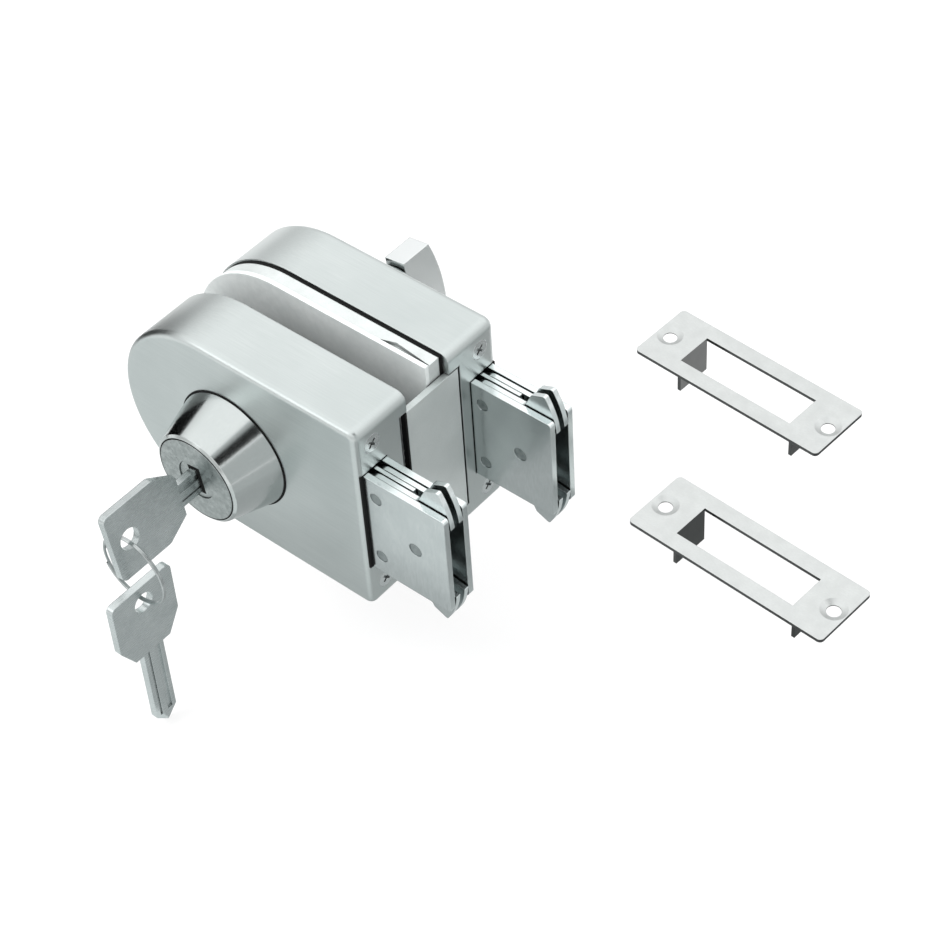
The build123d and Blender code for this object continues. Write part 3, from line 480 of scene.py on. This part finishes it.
def rosette_details():
    """Thin black ring round the cone's foot as its painted shadow line, and the broad face of the cylinder.
    """
    low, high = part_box("front_rosette")
    axis = (low + high) / 2
    foot = (high.x - low.x) / 2
    inner, outer = foot - 0.6 * MM, foot + 0.3 * MM
    shadow_ring_face = high.y - 0.35 * MM
    # Painted shade: the black ring stands for the shadow line at the cone's foot.
    turned_ring("front_rosette_shadow_ring", "black_rubber", axis,
                [(inner, high.y), (outer, high.y), (outer, shadow_ring_face), (inner, shadow_ring_face)])
    plug_low, plug_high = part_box("cylinder_plug")
    plug = (plug_high.x - plug_low.x) / 2 + 0.1 * MM
    face = 13.9 * MM
    groove = 14.3 * MM
    edge = 0.1 * MM
    back, front = low.y + 0.3 * MM, low.y - 0.2 * MM
    groove_floor = low.y - 0.03 * MM
    turned_ring("cylinder_face", "plug_brass", axis,
                [(plug, back), (face, back), (face, front + edge), (face - edge, front), (plug, front)])
    # Painted shade: the black ring stands for the shadow in the groove round the cylinder's face.
    turned_ring("cylinder_face_groove_shadow", "black_rubber", axis,
                [(face, back), (groove, back), (groove, groove_floor), (face, groove_floor)])


def keyway_shadow():
    """Black plate at the mouth of the keyway round the blade, as painted shade of the keyway's dark inside.
    """
    low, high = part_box("cylinder_plug")
    proud, depth = 0.05 * MM, 0.3 * MM
    middle = Vector(((low.x + high.x) / 2, low.y - proud, (low.z + high.z) / 2))
    half_width, half_height = 2.3 * MM, 4.7 * MM
    tilt = math.radians(KEY_TILT)
    across = Vector((math.cos(tilt), 0, -math.sin(tilt)))
    up = Vector((math.sin(tilt), 0, math.cos(tilt)))
    bm = bmesh.new()
    corners = [middle + across * (i * half_width) + up * (j * half_height)
               for i, j in ((-1, -1), (1, -1), (1, 1), (-1, 1))]
    bm.faces.new([bm.verts.new(c) for c in corners])
    made = bmesh.ops.extrude_face_region(bm, geom=list(bm.faces))
    for vert in (g for g in made["geom"] if isinstance(g, bmesh.types.BMVert)):
        vert.co.y += depth
    mesh_piece("keyway_shadow", "spindle_assembly", "black_rubber", bm)



def round_thumb_turn():
    """Round the cast edges of the thumb turn."""
    rounding = frame["nodes"]["thumb_turn"].modifiers.new("cast_edges", "BEVEL")
    rounding.width = 0.9 * MM
    rounding.segments = 3
    rounding.limit_method = "ANGLE"
    rounding.angle_limit = math.radians(40)


def slot_gap_shadows():
    """Black strip at the outer edge of each bolt's slot, flush with the end wall, as painted shade of the
    gap there.
    """
    gap, width = 0.05 * MM, 1.0 * MM
    depth, sunk = 0.75 * MM, 0.3 * MM
    for side, outwards in (("front", -1), ("rear", 1)):
        cover_low, cover_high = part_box(side + "_cover")
        cheek_low, cheek_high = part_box(side + "_outer_cheek")
        near = cheek_low.y if side == "front" else cheek_high.y
        near += outwards * gap
        far = near + outwards * width
        bm = bmesh.new()
        bmesh.ops.create_cube(bm, size=1.0)
        middle = Vector((cover_high.x - sunk, (near + far) / 2, (cheek_low.z + cheek_high.z) / 2))
        extent = Vector((depth, abs(far - near), cheek_high.z - cheek_low.z))
        for vert in bm.verts:
            vert.co = middle + Vector((vert.co.x * extent.x, vert.co.y * extent.y, vert.co.z * extent.z))
        mesh_piece(side + "_slot_gap_shadow", "lock_case", "black_rubber", bm)


def flange_edge_shadow_strip():
    """Black strip along the edge of the flange, in the notch of the front cover, as painted shade of the
    notch.
    """
    thickness, depth, length = 0.6 * MM, 1.8 * MM, 55.0 * MM
    sunk = 0.1 * MM
    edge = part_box("rear_base_plate")[0].y
    bm = bmesh.new()
    bmesh.ops.create_cube(bm, size=1.0)
    for vert in bm.verts:
        vert.co = Vector(((vert.co.x - 0.5) * depth - sunk, edge + (vert.co.y - 0.45) * thickness,
                          vert.co.z * length))
    mesh_piece("flange_edge_shadow_strip", "lock_case", "black_rubber", bm)


dress_cad_nodes()
split_ring()
rosette_details()
slot_gap_shadows()
flange_edge_shadow_strip()
keyway_shadow()
round_thumb_turn()
pale_floor()
studio_world()
photo_camera()
softbox("top_softbox", (-0.47, 0.51, 0.85), 1.1, 0.9, 3.0, in_reflections=False)
softbox("slot_fill", (-0.25, -0.45, 0.86), 1.3, 0.5, 8.0, in_reflections=False)
softbox("front_fill", (-0.47, -0.72, 0.48), 1.3, 0.6, 1.2)
card("black_strip_right", (0.68, -0.12, 0.96), (0.8, 0.42), (-0.58, 0.1, -0.8), 0.0)
card("grey_strip_right", (0.45, -0.12, 1.1), (0.8, 0.16), (-0.38, 0.1, -0.92), 0.6)
card("grey_board_low_right", (1.1, -0.1, 0.4), (0.9, 0.85), (-0.93, 0.1, -0.35), 0.72)
card("black_board_left", (-0.30, -0.01, 0.03), (0.22, 0.21), (1, 0, 0), 0.0)
card("grey_board_front", (0.0, -0.17, FLOOR_HEIGHT + 0.002), (0.2, 0.2), (0, 0, 1), 1.05)
card("grey_board_front_left", (-0.2, -0.09, FLOOR_HEIGHT + 0.002), (0.2, 0.26), (0, 0, 1), 0.96)
card("grey_board_under", (-0.01, 0.02, FLOOR_HEIGHT + 0.002), (0.18, 0.18), (0, 0, 1), 0.6)
card("grey_board_right_gap", (0.12, -0.07, FLOOR_HEIGHT + 0.002), (0.08, 0.16), (0, 0, 1), 0.62)
card("grey_board_near_right", (0.108, 0.155, FLOOR_HEIGHT + 0.003), (0.084, 0.29), (0, 0, 1), 0.34)
card("grey_board_far_right", (0.65, 0.1, FLOOR_HEIGHT + 0.002), (1.0, 0.7), (0, 0, 1), 0.7)
card("black_strip_corner", (0.075, -0.08, FLOOR_HEIGHT + 0.004), (0.03, 0.04), (0, 0, 1), 0.08)
scene.view_settings.view_transform = "Standard"
